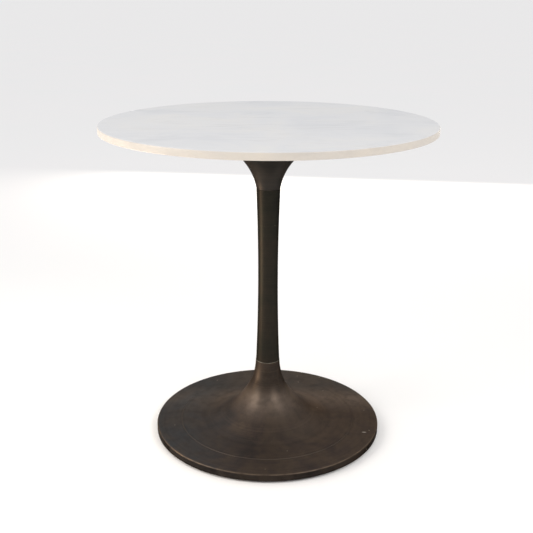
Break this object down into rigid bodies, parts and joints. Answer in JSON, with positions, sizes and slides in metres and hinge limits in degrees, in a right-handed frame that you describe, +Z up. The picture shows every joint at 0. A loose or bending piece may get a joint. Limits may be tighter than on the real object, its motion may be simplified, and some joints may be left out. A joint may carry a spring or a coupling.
{
  "type": "bistro table",
  "caption": "Round pedestal table with a thin marble slab on a slim waisted column and a trumpet-shaped base in aged bronze, standing on screw-adjusted glides.",
  "frame": {"origin": "on the floor, under the middle of the table", "axes": "+Z up along the column's axis; +X and +Y are equal, because the table is round and its glides stand midway between them"},
  "size_m": [0.7619, 0.762, 0.762],
  "materials": {
    "marble": "satin",
    "board": "matte",
    "insert_brass": "satin",
    "patina_casting": "satin",
    "patina_tube": "satin",
    "zinc_steel": "satin",
    "nylon": "matte"
  },
  "bodies": {
    "table": {"marble_top": "marble", "sub_top": "board", "top_inserts": "insert_brass", "neck": "patina_casting", "base": "patina_casting", "column": "patina_tube", "flange_bolts": "zinc_steel", "flange_washers": "zinc_steel", "tie_rod": "zinc_steel", "upper_nut": "zinc_steel", "upper_washer": "zinc_steel", "lower_nut": "zinc_steel", "lower_washer": "zinc_steel", "spring_washer": "zinc_steel"},
    "pad_1": {"glide_pad_1": "nylon"},
    "stem_1": {"glide_stem_1": "zinc_steel"},
    "pad_2": {"glide_pad_2": "nylon"},
    "stem_2": {"glide_stem_2": "zinc_steel"},
    "pad_3": {"glide_pad_3": "nylon"},
    "stem_3": {"glide_stem_3": "zinc_steel"},
    "pad_4": {"glide_pad_4": "nylon"},
    "stem_4": {"glide_stem_4": "zinc_steel"}
  },
  "joints": [
    {"name": "glide_1_travel", "type": "slide", "parent": "table", "child": "pad_1", "axis": [0, 0, -1], "range_m": [0, 0.006]},
    {"name": "glide_1_turn", "type": "hinge", "parent": "pad_1", "child": "stem_1", "pos_m": [0.16617, 0.16617, 0], "axis": [0, 0, -1], "range_deg": [0, 1728]},
    {"name": "glide_2_travel", "type": "slide", "parent": "table", "child": "pad_2", "axis": [0, 0, -1], "range_m": [0, 0.006]},
    {"name": "glide_2_turn", "type": "hinge", "parent": "pad_2", "child": "stem_2", "pos_m": [-0.16617, 0.16617, 0], "axis": [0, 0, -1], "range_deg": [0, 1728]},
    {"name": "glide_3_travel", "type": "slide", "parent": "table", "child": "pad_3", "axis": [0, 0, -1], "range_m": [0, 0.006]},
    {"name": "glide_3_turn", "type": "hinge", "parent": "pad_3", "child": "stem_3", "pos_m": [-0.16617, -0.16617, 0], "axis": [0, 0, -1], "range_deg": [0, 1728]},
    {"name": "glide_4_travel", "type": "slide", "parent": "table", "child": "pad_4", "axis": [0, 0, -1], "range_m": [0, 0.006]},
    {"name": "glide_4_turn", "type": "hinge", "parent": "pad_4", "child": "stem_4", "pos_m": [0.16617, -0.16617, 0], "axis": [0, 0, -1], "range_deg": [0, 1728]}
  ],
  "couplings": [
    {"joint": "glide_1_travel", "follows": "glide_1_turn", "m_per_rad": 0.00019894},
    {"joint": "glide_2_travel", "follows": "glide_2_turn", "m_per_rad": 0.00019894},
    {"joint": "glide_3_travel", "follows": "glide_3_turn", "m_per_rad": 0.00019894},
    {"joint": "glide_4_travel", "follows": "glide_4_turn", "m_per_rad": 0.00019894}
  ]
}
